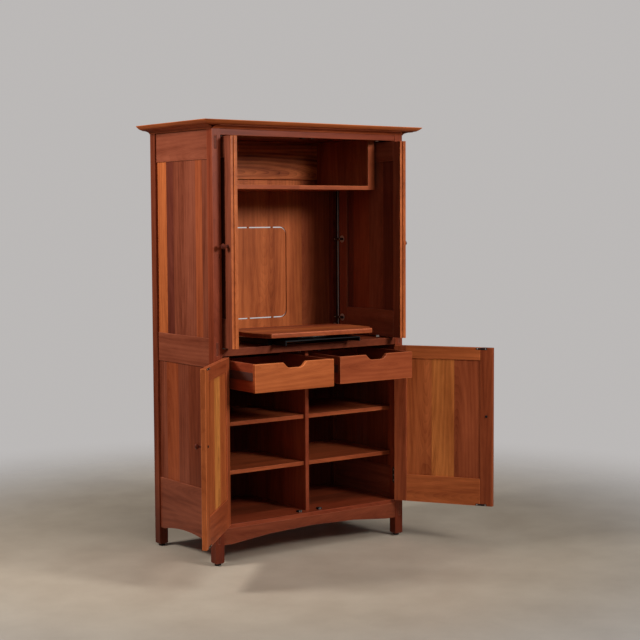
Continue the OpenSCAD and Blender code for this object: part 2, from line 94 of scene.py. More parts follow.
def sun(name, azimuth, elevation, spread, strength):
    """Soft light from far away. Azimuth 0 shines from the front, 90 from the right, -90 from the left."""
    turn, rise = math.radians(azimuth), math.radians(elevation)
    source = Vector((math.sin(turn) * math.cos(rise), -math.cos(turn) * math.cos(rise), math.sin(rise)))
    data = bpy.data.lights.new(name, "SUN")
    data.angle = math.radians(spread)
    data.energy = strength
    light = bpy.data.objects.new(name, data)
    light.rotation_euler = source.to_track_quat("Z", "Y").to_euler()
    scene.collection.objects.link(light)


def lamp(name, at, aim, size, spread, watts, colour):
    """A round soft box near the object; spread is the width of its beam in degrees."""
    data = bpy.data.lights.new(name, "AREA")
    data.shape = "DISK"
    data.size = size
    data.spread = math.radians(spread)
    data.energy = watts
    data.color = colour
    light = bpy.data.objects.new(name, data)
    light.location = at
    light.rotation_euler = (Vector(aim) - Vector(at)).to_track_quat("-Z", "Y").to_euler()
    scene.collection.objects.link(light)


def make_world(seen, lit):
    """A pale backdrop behind the object that lights it more weakly than it looks."""
    world = bpy.data.worlds.new("studio")
    world.use_nodes = True
    tree = world.node_tree
    tree.nodes.clear()
    out = tree.nodes.new("ShaderNodeOutputWorld")
    mix = tree.nodes.new("ShaderNodeMixShader")
    path = tree.nodes.new("ShaderNodeLightPath")
    for socket, strength in ((1, lit), (2, seen)):
        background = tree.nodes.new("ShaderNodeBackground")
        background.inputs["Color"].default_value = BACKDROP
        background.inputs["Strength"].default_value = strength
        tree.links.new(background.outputs[0], mix.inputs[socket])
    tree.links.new(path.outputs["Is Camera Ray"], mix.inputs[0])
    tree.links.new(mix.outputs[0], out.inputs["Surface"])
    scene.world = world


make_world(seen=0.5, lit=0.035)
lamp("key", at=(-2.7, 0.35, 2.75), aim=(-0.5, 0, 1.35), size=0.9, spread=150, watts=41,
     colour=(1, 0.97, 0.94))
lamp("front", at=(1.25, -4.6, 2.95), aim=(0, -0.3, 1.5), size=1.2, spread=60, watts=17.5,
     colour=(1, 0.98, 0.95))
sun("fill", azimuth=-38, elevation=24, spread=60, strength=0.24)
sun("top", azimuth=20, elevation=60, spread=40, strength=0.85)
scene.view_settings.view_transform = "Standard"

# ---------- shader building ----------


def srgb(red, green, blue):
    """A colour given as 0-255 display values, as linear RGBA."""
    linear = [c / 12.92 if c <= 0.04045 else ((c + 0.055) / 1.055) ** 2.4
              for c in (v / 255 for v in (red, green, blue))]
    return (*linear, 1)


class Graph:
    """Builds a material's node tree with short calls."""

    def __init__(self, name):
        self.material = bpy.data.materials.new(name)
        self.material.use_nodes = True
        self.tree = self.material.node_tree
        self.shader = self.tree.nodes["Principled BSDF"]

    def node(self, kind, sockets=(), **settings):
        node = self.tree.nodes.new("ShaderNode" + kind)
        for key, value in settings.items():
            setattr(node, key, value)
        for key, value in dict(sockets).items():
            self.put(node.inputs[key], value)
        return node

    def put(self, socket, value):
        if isinstance(value, bpy.types.NodeSocket):
            self.tree.links.new(value, socket)
        else:
            socket.default_value = value

    def math(self, operation, a, b=0.0, c=0.0):
        return self.node("Math", {0: a, 1: b, 2: c}, operation=operation).outputs[0]

    def vector(self, operation, a, b=(0, 0, 0)):
        node = self.node("VectorMath", {0: a, 1: b}, operation=operation)
        return node.outputs["Value" if operation in ("LENGTH", "DOT_PRODUCT") else "Vector"]

    def noise(self, at, stretch, detail=2.0, roughness=0.5):
        """Noise whose cells are 1/stretch metres along each axis."""
        scaled = self.vector("MULTIPLY", at, stretch)
        sockets = {"Vector": scaled, "Scale": 1.0, "Detail": detail, "Roughness": roughness}
        return self.node("TexNoise", sockets).outputs[0]

    def smooth_step(self, value, low, high, at_low, at_high):
        sockets = {0: value, 1: low, 2: high, 3: at_low, 4: at_high}
        return self.node("MapRange", sockets, interpolation_type="SMOOTHSTEP").outputs[0]

    def join(self, x, y, z):
        return self.node("CombineXYZ", {0: x, 1: y, 2: z}).outputs[0]

    def axes(self, vector):
        split = self.node("SeparateXYZ", {0: vector})
        return [split.outputs[i] for i in range(3)]

    def pick(self, mask, outside, inside):
        """One vector where mask is 0 and the other where it is 1."""
        node = self.node("Mix", data_type="VECTOR")
        self.put(node.inputs["Factor"], mask)
        self.put(node.inputs[4], outside)
        self.put(node.inputs[5], inside)
        return node.outputs[1]

    def ramp(self, value, stops, interpolation="LINEAR"):
        node = self.node("ValToRGB", {0: value})
        node.color_ramp.interpolation = interpolation
        elements = node.color_ramp.elements
        while len(elements) < len(stops):
            elements.new(1.0)
        for element, (position, colour) in zip(elements, stops):
            element.position = position
            element.color = colour if len(colour) == 4 else (*colour, 1)
        return node.outputs[0]

    def blend(self, amount, a, b, mode="MIX"):
        node = self.node("Mix", data_type="RGBA", blend_type=mode)
        self.put(node.inputs["Factor"], amount)
        self.put(node.inputs[6], a)
        self.put(node.inputs[7], b)
        return node.outputs[2]

    def finish(self, **sockets):
        for key, value in sockets.items():
            self.put(self.shader.inputs[key.replace("_", " ")], value)
        return self.material

    def bump(self, height, distance, strength):
        node = self.node("Bump", {"Height": height, "Distance": distance, "Strength": strength})
        return node.outputs["Normal"]


# ---------- cherry ----------

CHERRY = {
    "pale": srgb(222, 142, 72),
    "light": srgb(204, 118, 58),
    "warm": srgb(184, 96, 50),
    "mid": srgb(160, 78, 44),
    "rust": srgb(152, 72, 39),
    # The next tone is a less saturated red that also paints the sheen of light reflected off the side panels,
    # side rails and pocket doors
    "sheen_rose": srgb(138, 70, 47),
    "red": srgb(140, 62, 36),
    "brown": srgb(122, 56, 33),
    "plum": srgb(104, 46, 32),
    "dark": srgb(86, 36, 25),
}
# How a board lies in the frame: the axes along its grain, across its width and through its thickness
LIES = {"x": (0, 1, 2), "xz": (0, 2, 1), "y": (1, 0, 2), "yz": (1, 2, 0), "z": (2, 1, 0), "zx": (2, 0, 1)}
RING = 0.0042            # spacing of the growth rings
PITH = 0.11              # half the width after which a new heart begins
PITH_DEPTH = 0.008       # the least depth of the heart behind the face
TAPER = 0.085            # how fast the heart sinks away along the board, which points the figure
TAPER_RUN = 0.85         # how far along the board the heart sinks before it rises again
RINGS_PER_FLAME = 4.6
FIGURE_WANDER = 13.0     # how many rings the figure drifts sideways, broadly and finely
FIGURE_SHIVER = 1.3
BOARD_SHIFT = (31, 0.9, 0.6)    # how far apart in the tree the boards of one panel may be cut
BASE_ROUGHNESS = 0.26
BUMP_DEPTH = 0.00012
END_FACING = 0.8         # a face that looks this much along the grain is end grain
END_DARKER = -0.4
EDGE_WEAR_AND_HIGHLIGHT_LIFT = 1.45         # how much paler the eased edges are: partly wear, partly a painted highlight where the edges catch the light
FLOOR_SHADE_TOP = 0.4          # painted shade: the wood darkens towards the floor below this height, where less light falls
FLOOR_SHADE_DARK = 0.45


def frame_coordinates(graph, turn, pivot):
    """The object's coordinates from a pivot, with the rest pose's turn about the vertical taken out."""
    coordinates = graph.node("TexCoord")
    rotation = (0, 0, math.radians(turn))
    at = graph.node("Mapping", {"Vector": coordinates.outputs["Object"], "Location": (*pivot, 0),
                                "Rotation": rotation}, vector_type="TEXTURE").outputs[0]
    normal = graph.node("Mapping", {"Vector": coordinates.outputs["Normal"], "Rotation": rotation},
                        vector_type="TEXTURE").outputs[0]
    return graph.axes(at), graph.axes(normal)


def board_steps(graph, parts, boards, draw):
    """Colour of each glued-up board along an axis, and an offset that gives each its own figure.

    boards is (axis, edges, tones), with one more edge than tones.
    """
    axis, edges, tones = boards
    span = edges[-1] - edges[0]
    place = graph.math("DIVIDE", graph.math("SUBTRACT", parts[axis], edges[0]), span)
    stops = [(min(1, max(0, (edge - edges[0]) / span)), CHERRY[tone]) for edge, tone in zip(edges, tones)]
    shifts = [(position, (draw.random(), draw.random(), draw.random())) for position, _ in stops]
    return graph.ramp(place, stops, "CONSTANT"), graph.ramp(place, shifts, "CONSTANT")


def place_on_board(graph, parts, lie, other):
    """The point as (along, across, through); other is (function that makes a mask, the lie inside it)."""
    def swizzle(key):
        return graph.join(*(parts[i] for i in LIES[key]))
    if not other:
        return swizzle(lie), None
    mask = other[0](graph, parts)
    return graph.pick(mask, swizzle(lie), swizzle(other[1])), mask


def own_cut(graph, parts, draw, tone, boards, upper_boards, breaks):
    """The wood's colour, and how far off in the tree each stick and board of the node was cut."""
    shift = graph.join(*(draw.uniform(-9, 9) for _ in range(3)))
    colour = CHERRY[tone]
    if boards:
        colour, offset = board_steps(graph, parts, boards, draw)
        if upper_boards:
            split, high_boards = upper_boards
            high_colour, high_offset = board_steps(graph, parts, high_boards, draw)
            above = graph.math("GREATER_THAN", parts[2], split)
            colour = graph.blend(above, colour, high_colour)
            offset = graph.blend(above, offset, high_offset)
        shift = graph.vector("ADD", shift, graph.vector("MULTIPLY", offset, BOARD_SHIFT))
    for axis, position in breaks:
        beyond = graph.math("GREATER_THAN", parts[axis], position)
        step = graph.join(*(graph.math("MULTIPLY", beyond, draw.uniform(1, 5)) for _ in range(3)))
        shift = graph.vector("ADD", shift, step)
    return colour, shift


def growth_rings(graph, place):
    """The year's growth and the broad figure.

    The first goes from 0 at the start of each year to 1 at its dark late wood, the second from -1 to 1
    over RINGS_PER_FLAME years.
    """
    wander = graph.noise(place, (0.9, 6.5, 6.5), detail=2.0)
    shiver = graph.noise(place, (6, 45, 45), detail=1.0)
    along, across, _ = graph.axes(place)
    heart = graph.math("WRAP", across, PITH, -PITH)
    depth = graph.math("MULTIPLY_ADD", graph.math("PINGPONG", along, TAPER_RUN), TAPER, PITH_DEPTH)
    radius = graph.vector("LENGTH", graph.join(0.0, heart, depth))
    phase = graph.math("MULTIPLY_ADD", wander, FIGURE_WANDER, graph.math("DIVIDE", radius, RING))
    phase = graph.math("MULTIPLY_ADD", shiver, FIGURE_SHIVER, phase)
    late = graph.math("POWER", graph.math("FRACT", phase), 2.5)
    flame = graph.math("SINE", graph.math("MULTIPLY", phase, math.tau / RINGS_PER_FLAME))
    return late, flame


def grain(graph, place, contrast, figure):
    """How light the wood is, with its late wood and its fibres, which also bump it."""
    late, flame = growth_rings(graph, place)
    streak = graph.noise(place, (1.1, 24, 24), detail=4.0, roughness=0.68)
    band = graph.noise(place, (1.6, 9, 9), detail=2.0)
    fibre = graph.noise(place, (16, 700, 700), detail=2.0, roughness=0.7)
    mottle = graph.noise(place, (14, 26, 26), detail=2.0)
    gum = graph.noise(place, (2.4, 80, 80), detail=3.0, roughness=0.65)

    # Each noise lightens and darkens the wood by its own amount, then late wood, flames and gum do
    light = 1.0
    for noise, amount in ((streak, 1.25), (band, 0.85), (fibre, 0.55), (mottle, 0.3)):
        light = graph.math("MULTIPLY_ADD", graph.math("SUBTRACT", noise, 0.5), amount * contrast, light)
    light = graph.math("MULTIPLY_ADD", late, -0.16 * contrast * min(figure, 1.6), light)
    light = graph.math("MULTIPLY_ADD", flame, 0.075 * figure, light)
    resin = graph.math("MULTIPLY", graph.math("SUBTRACT", gum, 0.66), 3.0)
    light = graph.math("SUBTRACT", light, graph.math("MINIMUM", graph.math("MAXIMUM", resin, 0.0), 0.16))
    return graph.math("MAXIMUM", light, 0.25), late, fibre


def end_grain(graph, normals, lie, other, mask):
    """1 on the faces that look along the grain."""
    facing = graph.math("ABSOLUTE", normals[LIES[lie][0]])
    if other:
        inside = graph.math("ABSOLUTE", normals[LIES[other[1]][0]])
        facing = graph.math("ADD", graph.math("MULTIPLY", facing, graph.math("SUBTRACT", 1.0, mask)),
                            graph.math("MULTIPLY", inside, mask))
    return graph.math("GREATER_THAN", facing, END_FACING)


def cherry(name, lie, tone="mid", boards=None, upper_boards=None, breaks=(), other=None, seed=0,
           turn=0, pivot=(0, 0), contrast=1.0, figure=1.0, scuffed=False, worn_and_lit=False):
    """Oiled cherry, coloured and bumped by its grain.

    boards and upper_boards, which start above a height, colour glued-up boards. breaks are (axis, position)
    where one stick ends and the next begins. The edge version of the same wood is paler, partly from wear and
    partly as a painted highlight, and the floor option paints shade that darkens the wood towards the floor.
    """
    graph = Graph(name)
    parts, normals = frame_coordinates(graph, turn, pivot)
    place, mask = place_on_board(graph, parts, lie, other)
    colour, shift = own_cut(graph, parts, random.Random(seed), tone, boards, upper_boards, breaks)
    if other:
        shift = graph.vector("ADD", shift, graph.join(mask, graph.math("MULTIPLY", mask, 0.37), 0.0))
    light, late, fibre = grain(graph, graph.vector("ADD", place, shift), contrast, figure)
    # Painted shade: the wood darkens towards the floor, where less light falls
    if scuffed:
        light = graph.math("MULTIPLY", light, graph.smooth_step(parts[2], 0.0, FLOOR_SHADE_TOP, FLOOR_SHADE_DARK, 1.0))

    end = end_grain(graph, normals, lie, other, mask)
    # Eased edges are paler, partly from wear and partly as a painted highlight
    lift = EDGE_WEAR_AND_HIGHLIGHT_LIFT if worn_and_lit else 1.0
    light = graph.math("MULTIPLY", light, graph.math("MULTIPLY_ADD", end, END_DARKER, lift))
    # Darker cherry is also redder, so the three channels fall at different rates
    tint = graph.node("CombineColor", {0: graph.math("POWER", light, 0.9), 1: graph.math("POWER", light, 1.2),
                                       2: graph.math("POWER", light, 1.35)}).outputs[0]
    roughness = graph.math("MULTIPLY_ADD", fibre, 0.25, BASE_ROUGHNESS)
    roughness = graph.math("MULTIPLY_ADD", end, 0.15, roughness)
    height = graph.math("MULTIPLY_ADD", late, -0.35, fibre)
    return graph.finish(Base_Color=graph.blend(1.0, colour, tint, "MULTIPLY"), Roughness=roughness,
                        Specular_IOR_Level=0.2, Normal=graph.bump(height, BUMP_DEPTH, 0.5))


def clad(node, material, ease=0.0015, worn_and_lit=None):
    """Gives a CAD node its material, and eases its edges; the second material, paler from wear and a painted
    highlight, goes on the eased edges.
    """
    piece = nodes[node]
    piece.data.materials.clear()
    piece.data.materials.append(material)
    if ease:
        piece.modifiers.new("weld", "WELD").merge_threshold = 0.00002
        flat = piece.modifiers.new("flat", "DECIMATE")
        flat.decimate_type = "DISSOLVE"
        flat.angle_limit = math.radians(0.5)
        bevel = piece.modifiers.new("ease", "BEVEL")
        bevel.width = ease
        bevel.segments = 2
        bevel.limit_method = "ANGLE"
        bevel.angle_limit = math.radians(40)
        # The eased edges take the paler material: wear and a painted highlight
        if worn_and_lit:
            piece.data.materials.append(worn_and_lit)
            bevel.material = 1
        shade = piece.modifiers.new("shade", "WEIGHTED_NORMAL")
        shade.mode = "FACE_AREA"
        shade.weight = 100


def wood(node, lie, tone="mid", ease=0.0015, **details):
    """Clads a node in its own cut of cherry, with edges made paler by wear and a painted highlight."""
    seed = sum(ord(letter) * (place + 1) for place, letter in enumerate(node))
    face = cherry("cherry_" + node, lie, tone, seed=seed, **details)
    edge = cherry("edge_" + node, lie, tone, seed=seed, worn_and_lit=True, **details) if ease else None
    clad(node, face, ease, edge)


# ---------- the wooden parts ----------

SIDES = (("left", -1), ("right", 1))
PANEL_SPLIT = 0.95       # height between the lower and the upper side panels
UPPER_PANEL = (1, (-0.24, -0.165, -0.11, 0.02, 0.085, 0.148, 0.24),
               ("sheen_rose", "mid", "sheen_rose", "sheen_rose", "plum", "warm"))
LOWER_PANEL = (1, (-0.24, -0.19, -0.03, 0.06, 0.165, 0.24), ("red", "brown", "sheen_rose", "rust", "sheen_rose"))
FLOOR_BOARDS = (1, (-0.28, -0.12, 0.02, 0.16, 0.28), ("red", "brown", "red", "brown"))
BACK_BOARDS = (0, (-0.5, -0.2, 0.11, 0.32, 0.5), ("warm", "warm", "warm", "mid"))
TRAY_BOARDS = (1, (-0.2, -0.09, 0.02, 0.11, 0.2), ("mid", "warm", "mid", "red"))
TRAY_TURN = -3           # the rest pose's swivel, in degrees, about a pin this far from the middle
TRAY_PIN = (0, -0.19)
TOP_BORDER = 0.11        # widths of the borders that are mitred at the front corners
MOULDING_BORDER = 0.07
LIPPING = 0.0085         # the paler lipping on the front edge of a pocket door
PAST_EDGE = 0.01         # how far a board's tone runs on past the wood, so that no face meets a step
BOX_SIDES = 0.404        # the top box's upright sides begin this far from the middle plane
DRAWER_SIDE = 0.0125
DOOR_TURNS = {"left": -134, "right": 122.5}    # each lower door's rest turn from closed, in degrees
# Each lower door's tones, from its low X to its high X when it is closed
LOWER_DOOR_TONES = {
    "left": {"stiles": ("mid", "warm"), "rails": "mid", "panel": ("warm", "pale", "warm")},
    "right": {"stiles": ("rust", "mid"), "rails": "warm", "panel": ("mid", "light", "warm")},
}
# Distances across a closed lower door from its hinge, where one stile's or board's tone gives way to the next
STILE_PLACES = (-0.02, 0.245, 0.5)
PANEL_PLACES = (0.06, 0.19, 0.3, 0.43)


def hinge_point(side):
    """Where a lower door's hinge stands in plan."""
    hinge = next(joint for joint in frame["joints"] if joint["child"] == "lower_door_" + side)
    return tuple(hinge["pos_m"][:2])


def beyond_x(limit):
    """Mask: further than limit from the middle plane."""
    return lambda graph, parts: graph.math("GREATER_THAN", graph.math("ABSOLUTE", parts[0]), limit)


def mitred_border(node, width):
    """Mask: in the side borders of a board that is framed with mitred corners at the front."""
    low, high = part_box(node)

    def mask(graph, parts):
        inward = graph.math("SUBTRACT", high[0], graph.math("ABSOLUTE", parts[0]))
        backward = graph.math("SUBTRACT", parts[1], low[1])
        return graph.math("LESS_THAN", inward, graph.math("MINIMUM", backward, width))
    return mask


def dress_case():
    side_panel = {"boards": LOWER_PANEL, "upper_boards": (PANEL_SPLIT, UPPER_PANEL)}
    for side, _ in SIDES:
        # The posts get painted shade that darkens them towards the floor
        wood("post_front_" + side, "z", "red", scuffed=True)
        wood("post_back_" + side, "z", "brown", scuffed=True)
        wood("side_rails_" + side, "yz", "sheen_rose", breaks=((2, 0.6), (2, 1.4)))
        wood("side_panels_" + side, "z", ease=0.001, **side_panel)
    wood("top_board", "x", "warm", ease=0.001, other=(mitred_border("top_board", TOP_BORDER), "y"))
    moulding_ends = mitred_border("cornice_moulding", MOULDING_BORDER)
    wood("cornice_moulding", "x", "mid", ease=0.0005, other=(moulding_ends, "y"))
    wood("inner_top", "x", "brown")
    wood("front_top_rail", "xz", "red")
    wood("front_bottom_rail", "xz", "brown")
    wood("deck", "x", "brown")
    wood("floor_board", "x", "red", boards=FLOOR_BOARDS)
    wood("back_rails", "xz", "warm", figure=3.0, contrast=1.5, breaks=((2, 1.0),))
    wood("centre_divider", "z", "red")
    wood("shelves", "x", "mid", breaks=((0, 0.0), (2, 0.5)))
    wood("top_box", "x", "mid", other=(beyond_x(BOX_SIDES), "z"), breaks=((0, 0.0),))
    wood("drawer_spacers", "y", "dark", breaks=((0, -0.2), (0, 0.0), (0, 0.2)))
    wood("back_panel_upper", "zx", boards=BACK_BOARDS, ease=0)
    wood("back_panel_lower", "zx", "plum", contrast=0.8, ease=0.0006)


def dress_upper_doors():
    for side, _ in SIDES:
        stem = "upper_%s_" % side
        low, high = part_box(stem + "stiles")
        middle = (low[1] + high[1]) / 2
        edges = (low[1] - PAST_EDGE, low[1] + LIPPING, middle, high[1] + PAST_EDGE)
        wood(stem + "stiles", "z", boards=(1, edges, ("warm", "sheen_rose", "sheen_rose")))
        wood(stem + "rails", "yz", "sheen_rose", breaks=((2, 1.4),))
        edges = [low[1] + (high[1] - low[1]) * share for share in (0, 0.3, 0.52, 0.78, 1)]
        wood(stem + "panel", "z", boards=(1, edges, ("plum", "sheen_rose", "red", "plum")), ease=0.001)
        wood(stem + "knob", "x", "plum", ease=0)


def dress_lower_doors():
    for side, sign in SIDES:
        stem = "lower_%s_" % side
        tones = LOWER_DOOR_TONES[side]
        stile_edges = sorted(-sign * x for x in STILE_PLACES)
        panel_edges = sorted(-sign * x for x in PANEL_PLACES)
        laid = {"turn": DOOR_TURNS[side], "pivot": hinge_point(side)}
        wood(stem + "stiles", "zx", boards=(0, stile_edges, tones["stiles"]), ease=0.002, **laid)
        wood(stem + "rails", "xz", tones["rails"], breaks=((2, 0.6),), **laid)
        wood(stem + "panel", "zx", boards=(0, panel_edges, tones["panel"]), ease=0.001, figure=1.3, **laid)
        wood(stem + "knob", "xz", "plum", ease=0, **laid)


def dress_drawers():
    for side, sign in SIDES:
        low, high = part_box("drawer_%s_box" % side)
        inside = (high[0] - low[0]) / 2 - DRAWER_SIDE
        laid = {"pivot": ((low[0] + high[0]) / 2, 0)}
        front_tone = "warm" if sign < 0 else "mid"
        wood("drawer_%s_front" % side, "xz", front_tone, ease=0.0025, contrast=0.75, **laid)
        wood("drawer_%s_box" % side, "x", "red", other=(beyond_x(inside), "yz"), **laid)


def dress_tray():
    wood("tray_board", "x", turn=TRAY_TURN, pivot=TRAY_PIN, ease=0.004, boards=TRAY_BOARDS)


dress_case()
dress_upper_doors()
dress_lower_doors()
dress_drawers()
dress_tray()

# ---------- metals and plastic ----------


def metal(name, colour, roughness, metallic):
    """Brushed metal, or enamel and plastic where metallic is 0."""
    graph = Graph(name)
    at = graph.node("TexCoord").outputs["Object"]
    brush = graph.noise(at, (60, 60, 900), detail=2.0)
    smudge = graph.noise(at, (35, 35, 35), detail=3.0)
    tone = graph.math("MULTIPLY_ADD", smudge, 0.5, 0.75)
    shade = graph.node("CombineColor", {0: tone, 1: tone, 2: tone}).outputs[0]
    rough = graph.math("MULTIPLY_ADD", brush, 0.2, roughness)
    return graph.finish(Base_Color=graph.blend(1.0, colour, shade, "MULTIPLY"), Roughness=rough,
                        Metallic=metallic, Normal=graph.bump(brush, 0.00005, 0.4))


METAL_EASE = 0.0003

steel = metal("zinc_steel", srgb(196, 194, 189), 0.34, 0.6)
black_steel = metal("black_steel", srgb(34, 34, 36), 0.42, 0.6)
aged_steel = metal("aged_steel", srgb(88, 80, 72), 0.45, 0.8)
brown_enamel = metal("brown_enamel", srgb(72, 33, 21), 0.6, 0.0)
nylon = metal("white_nylon", srgb(225, 223, 215), 0.45, 0.0)

for node in ("shelf_pins", "tray_swivel_plate"):
    clad(node, steel, METAL_EASE)
clad("hinge_leaves_fixed", aged_steel, METAL_EASE)
for node in ("tray_base", "tray_carriage", "upper_left_carrier", "upper_right_carrier",
             "lower_left_hardware", "lower_right_hardware"):
    clad(node, black_steel, METAL_EASE)
for node in ("drawer_runners", "drawer_left_slides", "drawer_right_slides"):
    clad(node, brown_enamel, METAL_EASE)

# ---------- mesh building ----------

SHARP_ANGLE = math.radians(30)
CROSS_ARM = 0.22         # half the angle of one arm of a screw's cross recess
CROSS_TURN = 0.4         # how far every screw is turned, so that no cross stands square


def piece_of(name, build, material, body):
    """A piece made by build(bmesh), with its material and body."""
    work = bmesh.new()
    build(work)
    bmesh.ops.remove_doubles(work, verts=work.verts, dist=1e-6)
    bmesh.ops.recalc_face_normals(work, faces=work.faces)
    mesh = bpy.data.meshes.new(name)
    work.to_mesh(mesh)
    work.free()
    mesh.materials.append(material)
    mesh.shade_smooth()
    mesh.set_sharp_from_angle(angle=SHARP_ANGLE)
    piece = bpy.data.objects.new(name, mesh)
    scene.collection.objects.link(piece)
    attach(piece, body)
    return piece


def placing(at, axis, turn=0.0):
    """The matrix that stands a piece drawn along +Z at a point, pointing along an axis."""
    aim = Vector(axis).to_track_quat("Z", "Y").to_matrix().to_4x4()
    return Matrix.Translation(at) @ aim @ Matrix.Rotation(turn, 4, "Z")


def turned(work, profile, matrix, around=28, shape=None):
    """Sweeps (radius, height) rings round +Z. shape(ring, angle) scales a ring's radius."""
    rings = []
    for index, (radius, height) in enumerate(profile):
        ring = []
        for step in range(around):
            angle = math.tau * step / around
            reach = radius * (shape(index, angle) if shape else 1)
            point = Vector((reach * math.cos(angle), reach * math.sin(angle), height))
            ring.append(work.verts.new(matrix @ point))
        rings.append(ring)
    for lower, upper in zip(rings, rings[1:]):
        for step in range(around):
            following = (step + 1) % around
            work.faces.new((lower[step], lower[following], upper[following], upper[step]))
    work.faces.new(rings[0][::-1])
    work.faces.new(rings[-1])


def bar(work, low, high, ease):
    """A bar between two corners with eased edges."""
    made = bmesh.ops.create_cube(work, size=1)["verts"]
    size = Vector(high) - Vector(low)
    middle = (Vector(high) + Vector(low)) / 2
    for vert in made:
        vert.co = Vector(c * s for c, s in zip(vert.co, size)) + middle
    edges = {edge for vert in made for edge in vert.link_edges}
    offset = min(ease, min(size) / 3)
    bmesh.ops.bevel(work, geom=list(edges), offset=offset, segments=2, affect="EDGES", profile=0.5)


def screw_head(work, at, axis, radius, rise):
    """A countersunk cross-recess head, just proud of the face that it is driven into."""
    profile = [(radius, 0), (radius * 0.97, rise * 0.55), (radius * 0.75, rise), (radius * 0.55, rise),
               (radius * 0.42, -rise * 0.6)]
    first_of_recess = 3

    def cross(ring, angle):
        if ring < first_of_recess:
            return 1
        to_arm = abs((angle + math.pi / 4) % (math.pi / 2) - math.pi / 4)
        return 1 if to_arm < CROSS_ARM else 0.4
    turned(work, profile, placing(at, axis, turn=CROSS_TURN), shape=cross)


def door_matrix(side):
    """From a lower door drawn closed to the same door at its rest angle."""
    pivot = Vector((*hinge_point(side), 0))
    turn = Matrix.Rotation(math.radians(DOOR_TURNS[side]), 4, "Z")
    return Matrix.Translation(pivot) @ turn @ Matrix.Translation(-pivot)


# ---------- small hardware ----------

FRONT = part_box("post_front_left")[0][1]
POST_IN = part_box("post_front_right")[0][0]
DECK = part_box("deck")[1][2]

HINGE_ZS = (0.300, 0.825)
LEAF_SCREWS = (-0.026, 0, 0.026)    # a leaf's screws, from the hinge's middle
LEAF_MIDDLE = 0.0125                # from the case's front back to the middle of a leaf
CASE_LEAF_FACE = 0.0009             # how far each leaf's face stands in from the post
DOOR_LEAF_FACE = 0.0011
LEAF_SCREW_RADIUS = 0.0034

STRIKE_BACK = 0.0232                # from the case's front back to the strike plates of a closed door
STRIKE_ZS = (0.1895, 0.9325)
STRIKE_XS = (0.037, 0.077)

KNOB_X = 0.0325                     # the lower doors' knobs
KNOB_Z = 0.613
WASHER_BACK = 0.0235
WASHER_RISE = 0.0012

CATCH_WIDTH = 0.022
CATCH_DEPTH = 0.02
LOW_CATCH_TALL = 0.009
TOP_CATCH_TALL = 0.012
TOP_CATCH_X = 0.014                 # from the middle plane to a top catch
BELOW_DECK = 0.042                  # from the deck's top down to the catches under it
POLE_HALF = 0.0012
POLE_DEPTH = 0.008
POLE_XS = (0.0055, 0.0145)          # the two pole plates, from the catch's inner side

ROLLER_RADIUS = 0.008
ROLLER_TOP = 0.0092
GLIDE_RADIUS = 0.015

CHANNEL_TALL = 0.03
CHANNEL_WEB = 0.0018
CHANNEL_TRACK = (0.0014, 0.003)     # the thickness and height of the two lips that hold the balls
CHANNEL_SCREWS = (0.08, 0.36, 0.64, 0.92)

CUP_ZS = (1.053, 1.445, 1.836)
CUP_BACK = 0.0225                   # from a pocket door's hinge edge to the middle of its cups
ARM_SCREWS = (0.006, 0.045)         # a cup hinge's arm screws, from the carrier's back edge
WIRE_IN = 0.0092
WIRE_BACK = 0.0215
WIRE_END = 0.007                    # the wire stops short of the carrier's ends by this

BASE_SCREWS = (0.06, 0.5, 0.94)
BASE_SCREW_IN = 0.011


def make_hinge_screws():
    heights = [middle + rise for middle in HINGE_ZS for rise in LEAF_SCREWS]
    for side, sign in SIDES:
        matrix = door_matrix(side)

        def on_case(work):
            for z in heights:
                at = (sign * (POST_IN - CASE_LEAF_FACE), FRONT + LEAF_MIDDLE, z)
                screw_head(work, at, (-sign, 0, 0), LEAF_SCREW_RADIUS, rise=0.0009)

        def on_door(work):
            for z in heights:
                at = matrix @ Vector((sign * (POST_IN - DOOR_LEAF_FACE), FRONT + LEAF_MIDDLE, z))
                screw_head(work, at, matrix.to_3x3() @ Vector((sign, 0, 0)), LEAF_SCREW_RADIUS, rise=0.0005)
        piece_of("hinge_screws_case_" + side, on_case, steel, "case")
        piece_of("hinge_screws_door_" + side, on_door, steel, "lower_door_" + side)


def make_strike_screws():
    for side, sign in SIDES:
        matrix = door_matrix(side)
        inward = matrix.to_3x3() @ Vector((0, 1, 0))

        def build(work):
            for z in STRIKE_ZS:
                for x in STRIKE_XS:
                    at = matrix @ Vector((sign * x, FRONT + STRIKE_BACK, z))
                    screw_head(work, at, inward, radius=0.003, rise=0.0008)
        piece_of("strike_screws_" + side, build, steel, "lower_door_" + side)


def make_knob_screws():
    """The screw of each lower door's knob, on a small washer inside the door."""
    for side, sign in SIDES:
        matrix = door_matrix(side)
        inward = matrix.to_3x3() @ Vector((0, 1, 0))

        def build(work):
            at = matrix @ Vector((sign * KNOB_X, FRONT + WASHER_BACK, KNOB_Z))
            turned(work, [(0.0062, 0), (0.0062, 0.0008), (0.0055, WASHER_RISE)], placing(at, inward))
            screw_head(work, at + inward * WASHER_RISE, inward, radius=0.0042, rise=0.0012)
        piece_of("knob_screw_" + side, build, black_steel, "lower_door_" + side)


